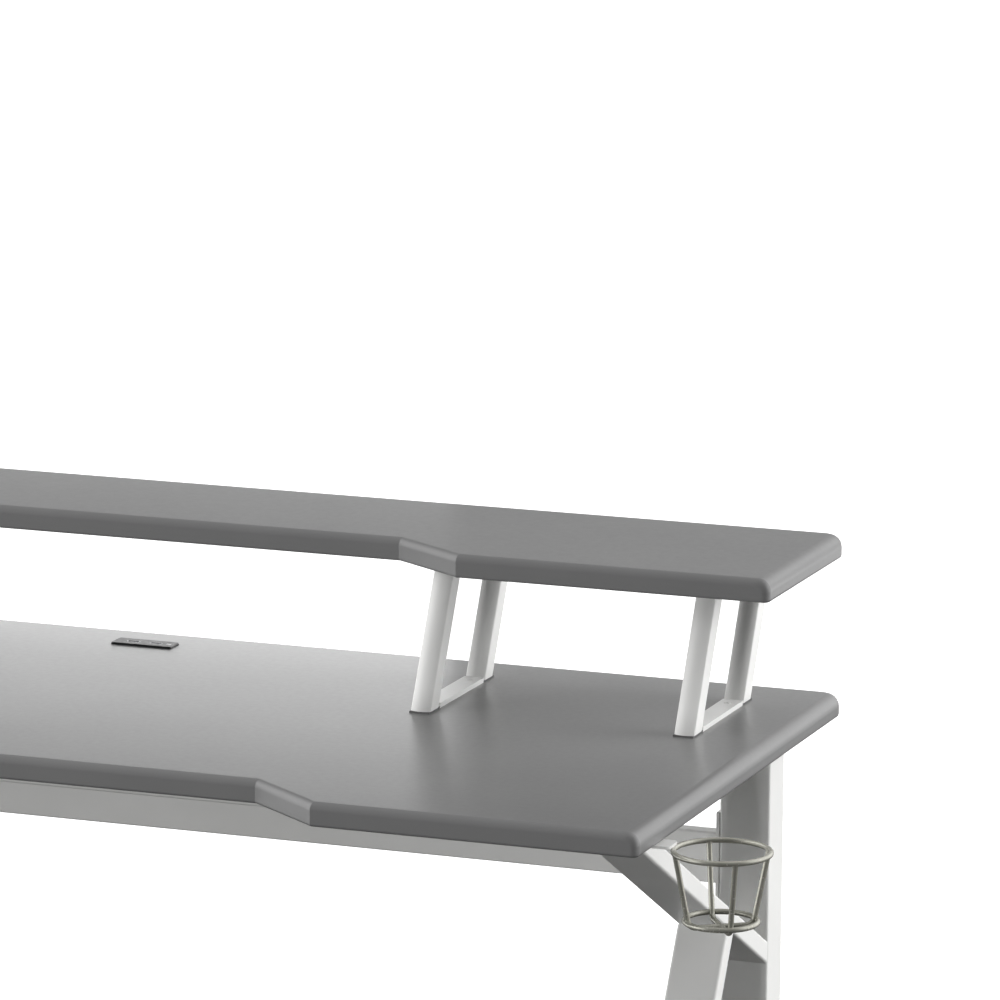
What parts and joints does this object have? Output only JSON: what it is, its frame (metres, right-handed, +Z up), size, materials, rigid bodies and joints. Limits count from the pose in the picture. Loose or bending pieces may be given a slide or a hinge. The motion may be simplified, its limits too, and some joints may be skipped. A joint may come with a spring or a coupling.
{
  "type": "two-tier computer desk",
  "caption": "Two-tier grey computer desk with a full-length monitor shelf on leaning riser frames, white K-shaped tube legs, a wire cup holder and a charging socket.",
  "frame": {"origin": "centre of the whole object's footprint, cup holder included, on the floor", "axes": "+X to the right and +Y to the back as the seated person sees it, +Z up"},
  "size_m": [1.499, 0.6, 0.904],
  "materials": {
    "grey_laminate": "satin moulded laminate film over board",
    "white_metal": "smooth satin powder coat",
    "cap_plastic": "matt moulded",
    "black_plastic": "fine spark-eroded texture",
    "port_plastic": "moulded insert",
    "pad_rubber": "matt",
    "wire_metal": "satin coated wire",
    "steel": "zinc plated"
  },
  "bodies": {
    "desk": {"back_rail": "white_metal", "board_inserts": "steel", "charge_light": "port_plastic", "cup_basket": "wire_metal", "cup_bracket": "white_metal", "cup_bracket_screws": "steel", "cup_ring": "wire_metal", "desk_top": "grey_laminate", "foot_bar_end_caps": "cap_plastic", "foot_nuts": "steel", "front_stretcher": "white_metal", "head_bar_bolts": "steel", "head_bar_end_caps": "cap_plastic", "left_brace": "white_metal", "left_foot_bar": "white_metal", "left_front_strut": "white_metal", "left_head_bar": "white_metal", "left_post": "white_metal", "monitor_shelf": "grey_laminate", "rail_bolts": "steel", "rail_end_plates": "white_metal", "rear_stretcher": "white_metal", "right_brace": "white_metal", "right_foot_bar": "white_metal", "right_front_strut": "white_metal", "right_head_bar": "white_metal", "right_post": "white_metal", "riser_1_base_strip": "white_metal", "riser_1_front_leg": "white_metal", "riser_1_rear_leg": "white_metal", "riser_1_top_strip": "white_metal", "riser_2_base_strip": "white_metal", "riser_2_front_leg": "white_metal", "riser_2_rear_leg": "white_metal", "riser_2_top_strip": "white_metal", "riser_3_base_strip": "white_metal", "riser_3_front_leg": "white_metal", "riser_3_rear_leg": "white_metal", "riser_3_top_strip": "white_metal", "riser_4_base_strip": "white_metal", "riser_4_front_leg": "white_metal", "riser_4_rear_leg": "white_metal", "riser_4_top_strip": "white_metal", "riser_base_screws": "white_metal", "riser_foot_caps": "cap_plastic", "riser_shelf_screws": "steel", "rivet_nuts": "steel", "socket_bezel": "black_plastic", "socket_housing": "black_plastic", "stretcher_screws": "steel", "usb_shells": "steel", "usb_tongues": "port_plastic"},
    "foot_front_left": {"foot_pad_front_left": "pad_rubber", "foot_stud_front_left": "steel"},
    "foot_front_right": {"foot_pad_front_right": "pad_rubber", "foot_stud_front_right": "steel"},
    "foot_rear_left": {"foot_pad_rear_left": "pad_rubber", "foot_stud_rear_left": "steel"},
    "foot_rear_right": {"foot_pad_rear_right": "pad_rubber", "foot_stud_rear_right": "steel"}
  },
  "joints": [
    {"name": "level_front_left", "type": "slide", "parent": "desk", "child": "foot_front_left", "axis": [0, 0, -1], "range_m": [0, 0.009]},
    {"name": "level_front_right", "type": "slide", "parent": "desk", "child": "foot_front_right", "axis": [0, 0, -1], "range_m": [0, 0.009]},
    {"name": "level_rear_left", "type": "slide", "parent": "desk", "child": "foot_rear_left", "axis": [0, 0, -1], "range_m": [0, 0.009]},
    {"name": "level_rear_right", "type": "slide", "parent": "desk", "child": "foot_rear_right", "axis": [0, 0, -1], "range_m": [0, 0.009]}
  ]
}
